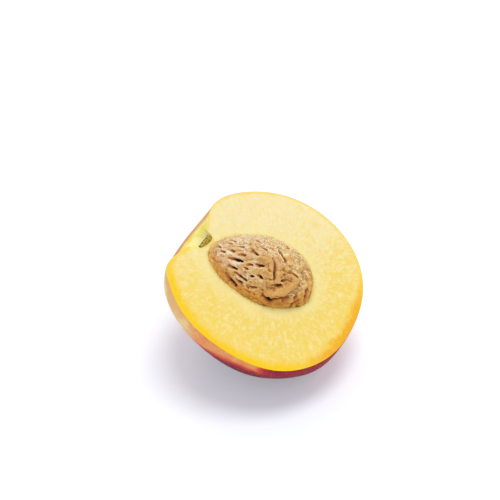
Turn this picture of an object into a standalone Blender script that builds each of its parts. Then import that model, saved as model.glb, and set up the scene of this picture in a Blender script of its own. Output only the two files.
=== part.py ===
"""Half of a ripe yellow peach with its stone, lying on its skin with the cut side up.

Metres, +Z up. The origin is the centre of the small flat spot that the half rests on.

The pieces are modelled in the frame of the cut: its x runs along the stem axis to the blossom end,
its y across the cut and its z out of the cut face, and its origin is the centre of the whole fruit.
"""

import math
import random

import bmesh
import bpy
from mathutils import Matrix, Vector
from mathutils.noise import noise

MM = 0.001

# The fruit. Its radius is measured from its centre, at an angle from the blossom end of the stem axis.
# Even waves are alike on both sides of that axis, odd waves lift one side and lower the other.
MEAN_RADIUS = 36.0 * MM
EVEN_WAVES = (-1.3 * MM, 0.8 * MM, -1.1 * MM)
ODD_WAVES = (-0.5 * MM, 1.1 * MM, -0.3 * MM, 0.6 * MM)
DOME_DEPTH = 1.05
# The stem cavity is a wide funnel, with a small pit at its bottom where the stalk grew.
FUNNEL_DEPTH = 9.8 * MM
FUNNEL_WIDTH = math.radians(20.5)
PIT_DEPTH = 3.6 * MM
PIT_WIDTH = math.radians(8.5)
PIT_OFFSET = math.radians(2.2)
PIT_SQUARENESS = 10
PIT_DIRECTION = Vector((-math.cos(PIT_OFFSET), -math.sin(PIT_OFFSET), 0.0))
# Away from the cut, which follows the suture, the cheek stands higher round the stem cavity.
CHEEK_RISE = 1.2 * MM
CHEEK_ANGLE = math.radians(150)
CHEEK_WIDTH = math.radians(24)
# Low swellings: turn and dip of the middle and the width, in degrees, then the rise in millimetres.
SWELLINGS = (
    (240, -2, 27, 2.0),
    (335, 22, 21, 3.2),
    (206, 0, 8, 1.4),
)

# How the half lies: the cut face's lean from level, the way it leans, and the stem axis's turn in the face.
LEAN = math.radians(31)
LEAN_TOWARDS = math.radians(-47)
AXIS_TURN = math.radians(29)
FLAT_SPOT_CUT = 1.5 * MM

# The stone. It lies with its keel in the plane of the cut, turned a little from the stem axis.
STONE_CENTRE = Vector((-5.0 * MM, 0.1 * MM, 0.0))
STONE_TURN = math.radians(12.8)
STONE_HALF_LENGTH = 20.5 * MM
STONE_HALF_WIDTH = 13.6 * MM
STONE_HALF_THICKNESS = 9.7 * MM
STONE_ROUNDNESS = 1.9
STONE_TAPER = 0.18
STONE_TIP = 1.0 * MM
STONE_TIP_TURN = math.radians(-20)
STONE_TIP_WIDTH = math.radians(14)
STONE_WAVE = 0.35 * MM
STONE_WAVE_LENGTH = 6.0 * MM

# The stone's furrows and pits on the side that shows: turn and lift of each end, in degrees,
# then half the width and the depth, in millimetres. The turn is 0 at the blossom end and 180 at the stem.
FURROWS = (
    (171, 16, 174, 24, 0.6, 0.8),
    (180, 28, 183, 35, 0.7, 1.4),
    (176, 39, 181, 48, 0.8, 0.8),
    (165, 49, 165, 57, 0.8, 0.9),
    (165, 68, 173, 76, 0.8, 1.5),
    (129, 67, 108, 70, 0.8, 1.0),
    (92, 64, 76, 66, 0.7, 0.6),
    (185, 55, 186, 63, 0.9, 0.8),
    (192, 39, 200, 55, 0.8, 1.7),
    (208, 56, 214, 64, 0.9, 0.8),
    (216, 69, 243, 75, 0.8, 1.5),
    (203, 33, 213, 38, 0.8, 1.5),
    (214, 51, 221, 53, 0.7, 0.8),
    (216, 32, 237, 33, 0.7, 1.6),
    (226, 22, 236, 23, 0.7, 1.5),
    (212, 16, 233, 10, 0.9, 1.3),
    (237, 46, 242, 48, 0.8, 1.6),
    (248, 55, 264, 53, 0.8, 1.5),
    (63, 58, 13, 69, 0.9, 1.5),
    (35, 85, 315, 75, 0.8, 0.9),
    (314, 76, 298, 57, 0.8, 1.9),
    (348, 60, 347, 51, 0.9, 1.6),
    (326, 55, 317, 53, 0.7, 1.3),
    (301, 46, 313, 47, 0.8, 1.5),
    (282, 26, 294, 21, 0.9, 1.5),
    (294, 21, 315, 32, 0.8, 1.9),
    (330, 29, 326, 23, 0.6, 1.1),
    (353, 36, 338, 14, 0.8, 0.9),
    (245, 25, 260, 31, 0.8, 0.8),
    (156, 28, 156, 37, 0.6, 0.6),
    (130, 46, 120, 54, 0.7, 0.7),
    (100, 35, 84, 40, 0.7, 0.6),
    (60, 33, 46, 40, 0.7, 0.7),
    (318, -12, 318, 10, 1.3, 1.0),
)
# The far side and the side that the fruit hides have shorter furrows, spread by rule along the stone.
SPREAD_FURROWS = 75
SPREAD_SEED = 7
LISTED_SIDE = 0.25
FINEST_FURROW = 0.9 * MM

# The dry end of the stalk, cut through at the bottom of the stem cavity.
SCAR_RADIUS = 2.75 * MM
SCAR_THICKNESS = 1.5 * MM
SCAR_LEAN = 0.2
SCAR_RIM = 0.3 * MM
SCAR_OFFSET = -1.0 * MM

GAP = 0.3 * MM

# How finely the surfaces are divided. The fruit's points crowd towards the stem cavity and the cut edge.
FRUIT_AROUND = 84
CROWD_ROUND = 0.4
CROWD_DOWN = 1.3
DOME_RINGS = 18
FACE_RINGS = 4
SOCKET_RINGS = 7
STONE_DIVISIONS = 5
FINE_FURROW_DEPTH = 0.35 * MM
SCAR_AROUND = 16
SCAR_RINGS = 3
WALL_TRIES = 12
FLOOR_SEARCH_STEPS = 180
SKIN_SLOT = 0
FLESH_SLOT = 1


def clear_scene():
    for thing in list(bpy.data.objects):
        bpy.data.objects.remove(thing, do_unlink=True)


def plain_material(name, colour, roughness):
    material = bpy.data.materials.new(name)
    material.use_nodes = True
    shader = material.node_tree.nodes["Principled BSDF"]
    shader.inputs["Base Color"].default_value = (*colour, 1.0)
    shader.inputs["Roughness"].default_value = roughness
    shader.inputs["Metallic"].default_value = 0.0
    return material


def object_from(mesh_source, name, materials, parent):
    """Turn a bmesh into a smooth named object in the frame of the cut."""
    bmesh.ops.recalc_face_normals(mesh_source, faces=mesh_source.faces)
    mesh = bpy.data.meshes.new(name)
    mesh_source.to_mesh(mesh)
    mesh_source.free()
    for material in materials:
        mesh.materials.append(material)
    mesh.shade_smooth()
    mesh.set_sharp_from_angle(angle=math.radians(50))
    thing = bpy.data.objects.new(name, mesh)
    bpy.context.collection.objects.link(thing)
    thing.parent = parent
    return thing


def add_ring(mesh, points):
    return [mesh.verts.new(point) for point in points]


def join_rings(mesh, first, second, material_index):
    """Close the band between two rings, the second of which may be a pole of one vertex."""
    for place in range(len(first)):
        after = (place + 1) % len(first)
        corners = (first[place], first[after], second[0])
        if len(second) > 1:
            corners = (first[place], first[after], second[after], second[place])
        mesh.faces.new(corners).material_index = material_index


def fruit_turns():
    even = [2.0 * math.pi * place / FRUIT_AROUND for place in range(FRUIT_AROUND)]
    return [turn + CROWD_ROUND * math.sin(turn) for turn in even]


def direction_of(turn, dip):
    """The unit vector at a turn round the cut face's normal and a dip below the face."""
    return Vector((math.cos(turn) * math.cos(dip), math.sin(turn) * math.cos(dip), -math.sin(dip)))


def angle_between(first, second):
    return math.acos(max(-1.0, min(1.0, first.dot(second))))


def fruit_radius(direction):
    """The distance from the fruit's centre to its skin, along a unit vector in the cut's frame."""
    angle = math.acos(max(-1.0, min(1.0, direction.x)))
    across = math.hypot(direction.y, direction.z)
    side = direction.y / across if across > 1e-9 else 0.0
    radius = MEAN_RADIUS
    for count, size in enumerate(EVEN_WAVES, 1):
        radius += size * math.cos(count * angle)
    for count, size in enumerate(ODD_WAVES, 1):
        radius += side * size * math.sin(count * angle)
    radius -= FUNNEL_DEPTH * math.exp(-(((math.pi - angle) / FUNNEL_WIDTH) ** 2))
    from_pit = angle_between(direction, PIT_DIRECTION)
    radius -= PIT_DEPTH * math.exp(-((from_pit / PIT_WIDTH) ** PIT_SQUARENESS))
    radius += CHEEK_RISE * (1.0 - side * side) * math.exp(-(((angle - CHEEK_ANGLE) / CHEEK_WIDTH) ** 2))
    for turn, dip, width, rise in SWELLINGS:
        from_middle = angle_between(direction, direction_of(math.radians(turn), math.radians(dip)))
        radius += rise * MM * math.exp(-((from_middle / math.radians(width)) ** 2))
    return radius


def fruit_point(turn, dip):
    """The skin's point at a turn round the cut face's normal and a dip below the face."""
    direction = direction_of(turn, dip)
    point = direction * fruit_radius(direction)
    point.z *= DOME_DEPTH
    return point


def cavity_wall(y, z):
    """The x of the stem cavity's skin, beside the stem axis, found by closing in on it."""
    x = -MEAN_RADIUS
    for _ in range(WALL_TRIES):
        aim = Vector((x, y, z / DOME_DEPTH))
        x *= fruit_radius(aim.normalized()) / aim.length
    return x


def stone_point(turn, lift):
    """A point of the stone's smooth form, in the stone's own frame: x along it, z out of the cut."""
    along, across = math.cos(turn), math.sin(turn)
    closeness = abs(along / STONE_HALF_LENGTH) ** STONE_ROUNDNESS
    closeness += abs(across / STONE_HALF_WIDTH) ** STONE_ROUNDNESS
    reach = closeness ** (-1.0 / STONE_ROUNDNESS)
    from_tip = math.remainder(turn - STONE_TIP_TURN, 2.0 * math.pi)
    reach += STONE_TIP * math.exp(-((from_tip / STONE_TIP_WIDTH) ** 2))
    x = reach * along * math.cos(lift)
    y = reach * across * math.cos(lift)
    taper = STONE_TAPER * x / STONE_HALF_LENGTH
    z = STONE_HALF_THICKNESS * math.sin(lift)
    return Vector((x, y * (1.0 + taper), z * (1.0 + 0.5 * taper)))


def distance_to_line(point, start, end):
    line = end - start
    share = max(0.0, min(1.0, (point - start).dot(line) / line.length_squared))
    return (point - start - line * share).length


def shown_furrows():
    for turn_a, lift_a, turn_b, lift_b, half_width, depth in FURROWS:
        start = stone_point(math.radians(turn_a), math.radians(lift_a))
        end = stone_point(math.radians(turn_b), math.radians(lift_b))
        yield start, end, max(half_width * MM, FINEST_FURROW), depth * MM


def spread_furrows():
    """Furrows away from the listed ones, each running roughly along the stone."""
    draw = random.Random(SPREAD_SEED)
    for _ in range(SPREAD_FURROWS):
        turn = draw.uniform(0.0, 2.0 * math.pi)
        height = draw.uniform(-0.98, 0.85)
        start = stone_point(turn, math.asin(height))
        end = start + Vector((draw.uniform(1.5, 4.5), draw.uniform(-1.2, 1.2), 0.0)) * MM
        depth = draw.uniform(0.7, 1.3) * MM
        if height < 0.0 or math.sin(turn) > LISTED_SIDE:
            yield start, end, FINEST_FURROW, depth


def furrow_depth(point, furrows):
    """How far the deepest furrow near a point of the smooth form goes in."""
    depth = 0.0
    for start, end, half_width, full_depth in furrows:
        apart = distance_to_line(point, start, end) / half_width
        if apart < 2.0:
            depth = max(depth, full_depth * math.exp(-apart * apart))
    return depth


def make_stone(parent, material):
    """An evenly divided ball is drawn out to the stone's form, with finer faces along its furrows."""
    shown = [*shown_furrows()]
    furrows = shown + [*spread_furrows()]

    def smooth_point(direction):
        direction = direction.normalized()
        return stone_point(math.atan2(direction.y, direction.x), math.asin(direction.z))

    def is_fine(edge):
        middle = smooth_point(edge.verts[0].co + edge.verts[1].co)
        return furrow_depth(middle, shown) > FINE_FURROW_DEPTH

    mesh = bmesh.new()
    bmesh.ops.create_icosphere(mesh, subdivisions=STONE_DIVISIONS, radius=1.0)
    bmesh.ops.subdivide_edges(mesh, edges=[edge for edge in mesh.edges if is_fine(edge)], cuts=1)
    bmesh.ops.triangulate(mesh, faces=mesh.faces)
    for vert in mesh.verts:
        smooth = smooth_point(vert.co)
        wave = STONE_WAVE * (0.5 + 0.5 * noise(smooth / STONE_WAVE_LENGTH))
        depth = max(wave, furrow_depth(smooth, furrows))
        vert.co = smooth - smooth.normalized() * depth
    stone = object_from(mesh, "stone", [material], parent)
    stone.location = STONE_CENTRE
    stone.rotation_euler = (0.0, 0.0, STONE_TURN)
    return stone


def socket_point(turn, lift):
    """The wall of the socket, just outside the stone's smooth form, in the frame of the cut."""
    form = stone_point(turn, lift)
    form += form.normalized() * GAP
    return STONE_CENTRE + Matrix.Rotation(STONE_TURN, 3, "Z") @ form


def make_fruit_half(parent, skin, flesh, floor_point, floor_up):
    """The dome of the skin, the cut face and the socket, with the flat spot cut off the dome."""
    mesh = bmesh.new()
    turns = fruit_turns()
    outline = add_ring(mesh, [fruit_point(turn, 0.0) for turn in turns])
    above = outline
    for ring in range(1, DOME_RINGS):
        dip = 0.5 * math.pi * (ring / DOME_RINGS) ** CROWD_DOWN
        below = add_ring(mesh, [fruit_point(turn, dip) for turn in turns])
        join_rings(mesh, above, below, SKIN_SLOT)
        above = below
    join_rings(mesh, above, add_ring(mesh, [fruit_point(0.0, 0.5 * math.pi)]), SKIN_SLOT)

    # A socket ring's turn is counted from the stone's long axis, so it starts back by the stone's turn.
    rim = [socket_point(turn - STONE_TURN, 0.0) for turn in turns]
    outside = outline
    for ring in range(1, FACE_RINGS + 1):
        share = ring / FACE_RINGS
        band = [vert.co.lerp(point, share) for vert, point in zip(outline, rim)]
        inside = add_ring(mesh, band)
        join_rings(mesh, outside, inside, FLESH_SLOT)
        outside = inside
    for ring in range(1, SOCKET_RINGS):
        lift = -0.5 * math.pi * ring / SOCKET_RINGS
        inside = add_ring(mesh, [socket_point(turn - STONE_TURN, lift) for turn in turns])
        join_rings(mesh, outside, inside, FLESH_SLOT)
        outside = inside
    join_rings(mesh, outside, add_ring(mesh, [socket_point(0.0, -0.5 * math.pi)]), FLESH_SLOT)

    everything = mesh.verts[:] + mesh.edges[:] + mesh.faces[:]
    bmesh.ops.bisect_plane(
        mesh, geom=everything, dist=1e-7, plane_co=floor_point, plane_no=floor_up, clear_inner=True
    )
    bmesh.ops.contextual_create(mesh, geom=[edge for edge in mesh.edges if edge.is_boundary])
    return object_from(mesh, "fruit_half", [skin, flesh], parent)


def make_stalk_scar(parent, material):
    """Half a thin disc with a raised rim, its back following the bottom of the stalk's pit."""
    mesh = bmesh.new()
    middle_front = cavity_wall(SCAR_OFFSET, 0.0) - GAP - SCAR_THICKNESS

    def pair(radius, around):
        y = SCAR_OFFSET + radius * math.cos(around)
        z = -radius * math.sin(around)
        back = cavity_wall(y, z) - GAP
        front = middle_front + SCAR_LEAN * (y - SCAR_OFFSET) - SCAR_RIM * (radius / SCAR_RADIUS) ** 3
        return mesh.verts.new((back, y, z)), mesh.verts.new((front, y, z))

    around = [math.pi * place / SCAR_AROUND for place in range(SCAR_AROUND + 1)]
    centre = pair(0.0, 0.0)
    rings = []
    for ring in range(1, SCAR_RINGS + 1):
        rings.append([pair(SCAR_RADIUS * ring / SCAR_RINGS, turn) for turn in around])
    for side in (0, 1):
        for place in range(SCAR_AROUND):
            mesh.faces.new((centre[side], rings[0][place][side], rings[0][place + 1][side]))
            for inner, outer in zip(rings, rings[1:]):
                corners = (inner[place], outer[place], outer[place + 1], inner[place + 1])
                mesh.faces.new([corner[side] for corner in corners])
    for place in range(SCAR_AROUND):
        here, after = rings[-1][place], rings[-1][place + 1]
        mesh.faces.new((here[0], here[1], after[1], after[0]))
    for end in (0, SCAR_AROUND):
        spokes = [centre] + [ring[end] for ring in rings]
        for inner, outer in zip(spokes, spokes[1:]):
            mesh.faces.new((inner[0], inner[1], outer[1], outer[0]))
    return object_from(mesh, "stalk_scar", [material], parent)


def lying_turn():
    """The turn from the frame of the cut to the world."""
    return (
        Matrix.Rotation(LEAN_TOWARDS, 3, "Z")
        @ Matrix.Rotation(LEAN, 3, "Y")
        @ Matrix.Rotation(AXIS_TURN, 3, "Z")
    )


def lowest_skin_point(up):
    """The dome's lowest point, searched finely enough for the flat spot."""
    steps = FLOOR_SEARCH_STEPS
    points = (
        fruit_point(2.0 * math.pi * across / steps, 0.5 * math.pi * down / steps)
        for across in range(steps)
        for down in range(steps + 1)
    )
    return min(points, key=lambda point: point.dot(up))


def flat_spot_centre(thing, up):
    """The centre of the flat spot, which is the only face that looks straight down."""
    flat = min(thing.data.polygons, key=lambda face: face.normal.dot(up))
    return flat.center.copy()


def main():
    clear_scene()
    skin = plain_material("peach_skin", (0.68, 0.23, 0.12), 0.6)
    flesh = plain_material("peach_flesh", (0.93, 0.72, 0.22), 0.35)
    stone = plain_material("peach_stone", (0.5, 0.27, 0.12), 0.75)
    stalk = plain_material("dry_stalk", (0.26, 0.18, 0.05), 0.8)

    turn = lying_turn()
    up = turn.inverted() @ Vector((0.0, 0.0, 1.0))
    floor_point = lowest_skin_point(up) + up * FLAT_SPOT_CUT

    frame = bpy.data.objects.new("cut_frame", None)
    bpy.context.collection.objects.link(frame)
    fruit = make_fruit_half(frame, skin, flesh, floor_point, up)
    make_stone(frame, stone)
    make_stalk_scar(frame, stalk)

    frame.rotation_euler = turn.to_euler()
    frame.location = -(turn @ flat_spot_centre(fruit, up))


main()
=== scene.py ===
"""The looks of a cut peach half: downy skin, moist flesh, a furrowed stone and the dry end of the stalk.

Metres, +Z up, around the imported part. The pieces are shaped in the frame of the cut: its x runs along the
stem axis to the blossom end, its y across the cut and its z out of the cut face, and its origin is the
centre of the whole fruit.
"""

import math
import random

import bmesh
import bpy
import numpy as np
from mathutils import Matrix, Vector
from mathutils.noise import noise, voronoi


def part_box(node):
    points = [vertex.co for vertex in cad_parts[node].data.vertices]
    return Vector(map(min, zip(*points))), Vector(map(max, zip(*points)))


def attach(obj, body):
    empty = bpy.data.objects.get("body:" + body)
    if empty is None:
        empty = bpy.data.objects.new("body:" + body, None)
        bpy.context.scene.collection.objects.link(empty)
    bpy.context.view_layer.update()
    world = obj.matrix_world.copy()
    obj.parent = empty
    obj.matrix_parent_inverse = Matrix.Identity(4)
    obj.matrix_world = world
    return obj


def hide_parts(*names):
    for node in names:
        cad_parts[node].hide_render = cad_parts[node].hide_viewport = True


MM = 0.001

# The fruit's form, as in the solids.
MEAN_RADIUS = 36.0 * MM
EVEN_WAVES = (-1.3 * MM, 0.8 * MM, -1.1 * MM)
ODD_WAVES = (-0.5 * MM, 1.1 * MM, -0.3 * MM, 0.6 * MM)
DOME_DEPTH = 1.05
FUNNEL_DEPTH = 9.8 * MM
FUNNEL_WIDTH = math.radians(20.5)
PIT_DEPTH = 3.6 * MM
PIT_WIDTH = math.radians(8.5)
PIT_OFFSET = math.radians(2.2)
PIT_SQUARENESS = 10
PIT_DIRECTION = np.array((-math.cos(PIT_OFFSET), -math.sin(PIT_OFFSET), 0.0))
WALL_TRIES = 12
CHEEK_RISE = 1.2 * MM
CHEEK_ANGLE = math.radians(150)
CHEEK_WIDTH = math.radians(24)
# Low swellings: turn and dip of the middle and the width, in degrees, then the rise in millimetres.
SWELLINGS = (
    (240, -2, 27, 2.0),
    (335, 22, 21, 3.2),
    (206, 0, 8, 1.4),
)

# How the half lies.
LEAN = math.radians(31)
LEAN_TOWARDS = math.radians(-47)
AXIS_TURN = math.radians(29)
FLAT_SPOT_CUT = 1.5 * MM

# The stone's form, as in the solids.
STONE_CENTRE = Vector((-5.0 * MM, 0.1 * MM, 0.0))
STONE_TURN = math.radians(12.8)
STONE_HALF_LENGTH = 20.5 * MM
STONE_HALF_WIDTH = 13.6 * MM
STONE_HALF_THICKNESS = 9.7 * MM
STONE_ROUNDNESS = 1.9
STONE_TAPER = 0.18
STONE_TIP = 1.0 * MM
STONE_TIP_TURN = math.radians(-20)
STONE_TIP_WIDTH = math.radians(14)
STONE_WAVE = 0.35 * MM
STONE_WAVE_LENGTH = 6.0 * MM

# The stone's furrows and pits on the side that shows: turn and lift of each end, in degrees,
# then half the width and the depth, in millimetres. The turn is 0 at the blossom end and 180 at the stem.
FURROWS = (
    (171, 16, 174, 24, 0.6, 0.8),
    (180, 28, 183, 35, 0.7, 1.4),
    (176, 39, 181, 48, 0.8, 0.8),
    (165, 49, 165, 57, 0.8, 0.9),
    (165, 68, 173, 76, 0.8, 1.5),
    (129, 67, 108, 70, 0.8, 1.0),
    (92, 64, 76, 66, 0.7, 0.6),
    (185, 55, 186, 63, 0.9, 0.8),
    (192, 39, 200, 55, 0.8, 1.7),
    (208, 56, 214, 64, 0.9, 0.8),
    (216, 69, 243, 75, 0.8, 1.5),
    (203, 33, 213, 38, 0.8, 1.5),
    (214, 51, 221, 53, 0.7, 0.8),
    (216, 32, 237, 33, 0.7, 1.6),
    (226, 22, 236, 23, 0.7, 1.5),
    (212, 16, 233, 10, 0.9, 1.3),
    (237, 46, 242, 48, 0.8, 1.6),
    (248, 55, 264, 53, 0.8, 1.5),
    (63, 58, 13, 69, 0.9, 1.5),
    (35, 85, 315, 75, 0.8, 0.9),
    (314, 76, 298, 57, 0.8, 1.9),
    (348, 60, 347, 51, 0.9, 1.6),
    (326, 55, 317, 53, 0.7, 1.3),
    (301, 46, 313, 47, 0.8, 1.5),
    (277, 23, 294, 14, 0.9, 1.5),
    (320, 27, 291, 15, 0.9, 1.7),
    (330, 29, 326, 23, 0.6, 1.1),
    (353, 36, 338, 14, 0.8, 0.9),
    (332, 17, 321, 3, 0.7, 1.3),
    (245, 25, 260, 31, 0.8, 0.8),
    (156, 28, 156, 37, 0.6, 0.6),
    (130, 46, 120, 54, 0.7, 0.7),
    (100, 35, 84, 40, 0.7, 0.6),
    (60, 33, 46, 40, 0.7, 0.7),
    (333, -12, 330, 6, 1.2, 0.7),
)
# More furrows are spread over the underside and the far side, which starts where the sine of the turn is
# LISTED_SIDE. Their heights are sines of the lift. Their runs, slants and depths are in millimetres.
SPREAD_FURROWS = 75
SPREAD_SEED = 7
LISTED_SIDE = 0.25
SPREAD_HEIGHTS = (-0.98, 0.85)
SPREAD_RUNS = (1.5, 4.5)
SPREAD_SLANTS = (-1.2, 1.2)
SPREAD_DEPTHS = (0.7, 1.3)
SPREAD_HALF_WIDTH = 0.7 * MM

# The fine relief that only the finished stone has.
FURROW_NARROWING = 0.88
FURROW_STEPS = 4
FURROW_RAGGED = 0.3 * MM
RAGGED_LENGTH = 1.5 * MM
SHELVING_LENGTH = 3.0 * MM
VALLEY_DEPTH = 0.35 * MM
VALLEY_REACH = 2.4
SHALLOW_END = (0.3, 0.9)
DEEP_FURROW = 1.5 * MM
RIDGE_SINK = 0.8 * MM
PROUDEST = 0.6 * MM
PROUD_FROM = 0.2
LUMP_HEIGHT = 0.42 * MM
LUMP_SIZE = np.array((3.4, 1.5, 1.5)) * MM
SWIRL = 1.2 * MM
SWIRL_LENGTH = 5.0 * MM
GRIT_DEPTH = 0.17 * MM
GRIT_LENGTH = 0.85 * MM
# Smooth ridges between the furrows: a list of turns and lifts, then half the width and the height.
RIDGES = (
    (((282, 31), (296, 34), (309, 37), (323, 45), (337, 50), (345, 55)), 1.3, 1.8),
    (((181, 80), (317, 85), (296, 77), (288, 68), (286, 50)), 1.4, 0.95),
    (((358, 82), (322, 68), (304, 57)), 1.3, 0.9),
    (((184, 60), (187, 75), (181, 82)), 1.5, 0.7),
    (((204, 6), (216, 7), (238, 8), (268, 12), (292, 10)), 1.5, 0.8),
    (((317, 20), (328, 23), (340, 35), (350, 38)), 1.1, 1.1),
    (((322, 4), (336, 12), (350, 22), (0, 30)), 1.0, 0.9),
    (((20, 40), (5, 52), (20, 66)), 1.4, 0.7),
    (((120, 45), (150, 62), (170, 55)), 1.2, 0.5),
)
# Scratches all over: sines of the lift, slants and tilts as shares of the length, then millimetres.
SCRATCHES = 360
SCRATCH_SEED = 21
SCRATCH_HEIGHTS = (-0.9, 0.97)
SCRATCH_SLANTS = (-0.5, 0.2)
SCRATCH_TILTS = (-0.1, 0.1)
SCRATCH_LENGTHS = (0.5, 2.4)
SCRATCH_HALF_WIDTHS = (0.16, 0.36)
SCRATCH_DEPTHS = (0.2, 0.65)
# Crumbs and grain, and how finely the stone is divided.
CRUMB_SIZE = 0.62 * MM
CRUMB_HEIGHT = 0.2 * MM
CRUMB_SHIFT = 0.12 * MM
GRAIN_DEPTH = 0.05 * MM
GRAIN_LENGTH = 0.45 * MM
PATCH_LENGTH = 3.2 * MM
EVENING_ROUNDS = 25
STONE_GRID = 118
STONE_CROWDING = 0.3

# The pit, scratch, ridge and hollow that the stone's colours take as full.
FULL_PIT = 1.3 * MM
FULL_SCRATCH = 0.4 * MM
FULL_RIDGE = 0.8 * MM
FULL_HOLLOW = 0.3 * MM

# The dry end of the stalk.
SCAR_RADIUS = 2.75 * MM
SCAR_THICKNESS = 1.5 * MM
SCAR_THINNEST = 0.15 * MM
SCAR_LEAN = 0.2
SCAR_RIM = 0.3 * MM
SCAR_OFFSET = -1.0 * MM
SCAR_GAP = 0.05 * MM
SOLID_SCAR_GAP = 0.3 * MM
SCAR_CRUMBLE = 0.22 * MM
SCAR_CRUMBLE_LENGTH = 0.7 * MM
SCAR_RINGS = 14
SCAR_AROUND = 64

# How finely the fruit is divided, and how its cut is finished. SKIN and FLESH are its material slots.
FRUIT_AROUND = 400
CROWD_ROUND = 0.4
DOME_RINGS = 105
CROWD_DOWN = 1.15
EDGE_RINGS = 4
EDGE_ROUND = 0.3 * MM
FACE_RINGS = 54
CROWD_FACE = 0.12
SOCKET_RINGS = 22
SOCKET_GAP = 0.03 * MM
SOCKET_STEP = 0.05 * MM
SOCKET_BELOW_SKIN = 10.0 * MM
SKIN = 0
FLESH = 1
FAR = 1.0

# The relief of the cut face: its waves, the fibres, the wet grain and the rise round the stone.
CUT_WAVE = 0.09 * MM
CUT_WAVE_LENGTH = 11.0 * MM
FIBRE_HEIGHT = 0.035 * MM
FIBRE_FINENESS = 9.0
FIBRE_LENGTH = 9.0 * MM
WET_GRAIN = 0.03 * MM
WET_GRAIN_LENGTH = 1.3 * MM
RELIEF_FROM_EDGE = 1.0 * MM
RISE = 0.45 * MM
RISE_WIDTH = 0.7 * MM
RISE_LENGTH = 2.2 * MM
RISE_FINE_LENGTH = 0.9 * MM

# The skin's flushes: turn and dip of the middle and the width, in degrees, then the share of red and
# how ragged the flush is.
FLUSHES = (
    (292, 50, 50, 1.35, 0.2),
    (312, 2, 34, 1.0, 0.3),
    (262, 0, 28, 0.3, 0.15),
    (186, 30, 30, 0.38, 0.4),
    (100, 50, 56, 0.8, 1.4),
    (75, 0, 44, 0.42, 1.2),
    (20, 75, 34, 0.7, 1.3),
    (195, 66, 34, 0.62, 1.3),
    (345, 20, 32, 0.75, 0.7),
    (135, 12, 26, 0.5, 1.2),
)
# A flush starts at the first share of its width and is full at the second, or further in where it is ragged.
FLUSH_OUTSIDE = 1.2
FLUSH_INSIDE = 0.6
FLUSH_DRAWN_IN = 0.3
# The mottling of their edges: its size in degrees, its length in millimetres and its own shift.
MOTTLES = (
    (8.0, 13.0, 11.0),
    (4.5, 4.0, 13.0),
    (2.5, 1.3, 15.0),
)
# What the skin's red turns to: where each colour starts, where it is full, and the colour.
REDS = (
    (0.08, 0.38, (240, 146, 84)),
    (0.3, 0.6, (216, 78, 60)),
    (0.5, 0.9, (158, 0, 42)),
    (0.9, 1.2, (112, 0, 28)),
)

# The stem cavity's own colour starts this far from the stem axis, and is full at the second angle.
CAVITY_OUTSIDE = math.radians(34)
CAVITY_INSIDE = math.radians(8)

# The down: fine closed needles, three-sided, spread evenly over the skin.
DOWN_COUNT = 45000
DOWN_SEED = 5
DOWN_LENGTHS = (0.2 * MM, 0.5 * MM)
DOWN_HALF_WIDTH = 0.014 * MM
DOWN_ROOT = 0.03 * MM
DOWN_SIDES = 3
DOWN_TILT = 0.7
DOWN_CLEARANCE = 0.6 * MM
# Each needle's first side faces across this direction.
DOWN_FACING = np.array((0.31, 0.59, 0.74))

# Turns across the cut, in degrees: where the flesh is palest, and where its golden ring is wide and orange.
PALEST = 122
GOLDEN = 258
ORANGE = 350

# The photograph's view: the fruit's centre as the camera has it, to the right, up and back, and the lens.
VIEW_RAISE = math.radians(40)
CENTRE_RIGHT = 8.18 * MM
CENTRE_UP = -9.46 * MM
CENTRE_AWAY = 452.7 * MM
LENS_MM = 90.7
SENSOR_MM = 36.0

# The light: a bright surround, and one soft lamp almost straight above. The floor glows a little.
SURROUND_COLOUR = (0.93, 0.95, 1.0, 1.0)
SURROUND_STRENGTH = 0.68
LAMP_COLOUR = (1.0, 0.99, 0.95)
LAMP_ENERGY = 1.32
LAMP_ANGLE = math.radians(26)
LAMP_FROM = Vector((0.1, 0.06, 1.0))
FLOOR_SIZE = 6.0
FLOOR_GLOW = 0.28


def colour(red, green, blue):
    """A display colour, each part from 0 to 255, as the linear colour that a shader takes."""
    parts = []
    for part in (red, green, blue):
        part /= 255.0
        parts.append(part / 12.92 if part <= 0.04045 else ((part + 0.055) / 1.055) ** 2.4)
    return (*parts, 1.0)


# Shapes.


def unit(points):
    return points / np.linalg.norm(points, axis=-1, keepdims=True)


def noise_at(points, length, shift=0.0):
    """Smooth noise, from -1 to 1, at each of an array of points. The shift picks another stretch of it."""
    places = (points.reshape(-1, 3) / length + shift).tolist()
    return np.array([noise(place) for place in places]).reshape(points.shape[:-1])


def smooth_step(low, high, value):
    share = np.clip((value - low) / (high - low), 0.0, 1.0)
    return share * share * (3.0 - 2.0 * share)


def direction_of(turn, dip):
    return np.stack((np.cos(turn) * np.cos(dip), np.sin(turn) * np.cos(dip), -np.sin(dip)), axis=-1)


def angle_between(directions, middle):
    return np.arccos(np.clip(directions @ middle, -1.0, 1.0))


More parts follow.
